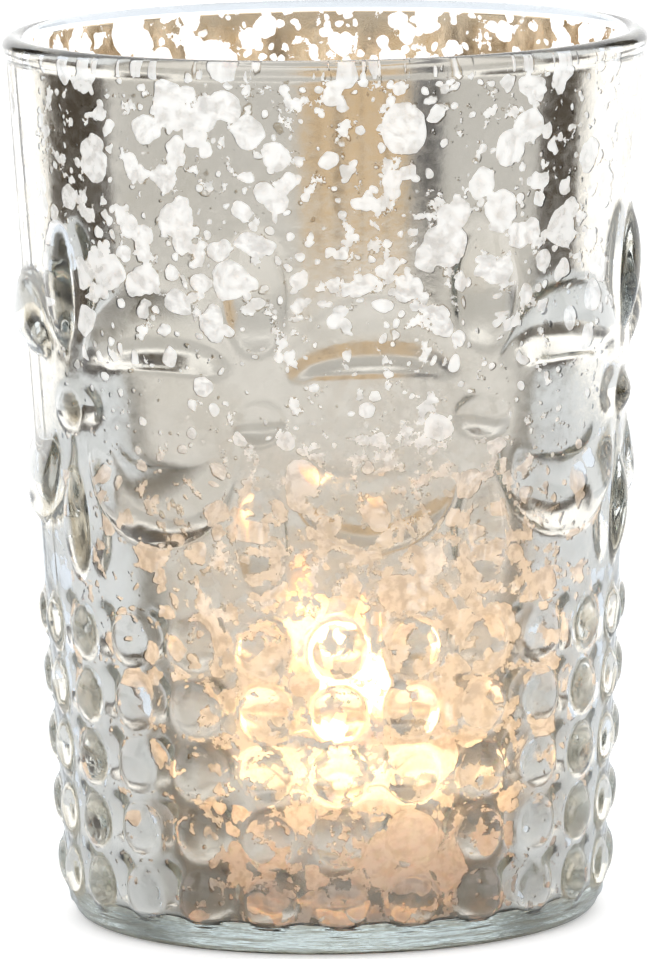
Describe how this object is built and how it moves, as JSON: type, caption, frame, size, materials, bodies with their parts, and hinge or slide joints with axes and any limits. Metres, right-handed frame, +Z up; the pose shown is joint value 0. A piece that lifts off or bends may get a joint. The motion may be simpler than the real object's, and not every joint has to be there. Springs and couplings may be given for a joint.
{
  "type": "tealight holder",
  "caption": "Tapered pressed-glass tumbler with a hobnail and crescent pattern, speckled silver inside, holding a tealight that lifts out.",
  "frame": {"origin": "centre of the base, on the surface that the holder stands on", "axes": "+Z up, out of the open mouth; -Y is the front, where a round crescent motif is centred"},
  "size_m": [0.074, 0.074, 0.102],
  "materials": {
    "glass": "pressed and fire-polished",
    "silver_film": "speckled silvering with holes, lacquered",
    "clear_plastic": "thermoformed, clear",
    "wax": "translucent paraffin wax",
    "cotton": "braided and charred at the top",
    "tinplate": "stamped"
  },
  "bodies": {
    "holder": {"glass_tumbler": "glass", "silver_lining": "silver_film"},
    "tealight": {"tealight_cup": "clear_plastic"},
    "candle": {"wax_fill": "wax", "wick": "cotton", "wick_sustainer": "tinplate"}
  },
  "joints": [
    {"name": "tealight_lift", "type": "slide", "parent": "holder", "child": "tealight", "axis": [0, 0, 1], "range_m": [0, 0.105]},
    {"name": "candle_lift", "type": "slide", "parent": "tealight", "child": "candle", "axis": [0, 0, 1], "range_m": [0, 0.02]}
  ]
}
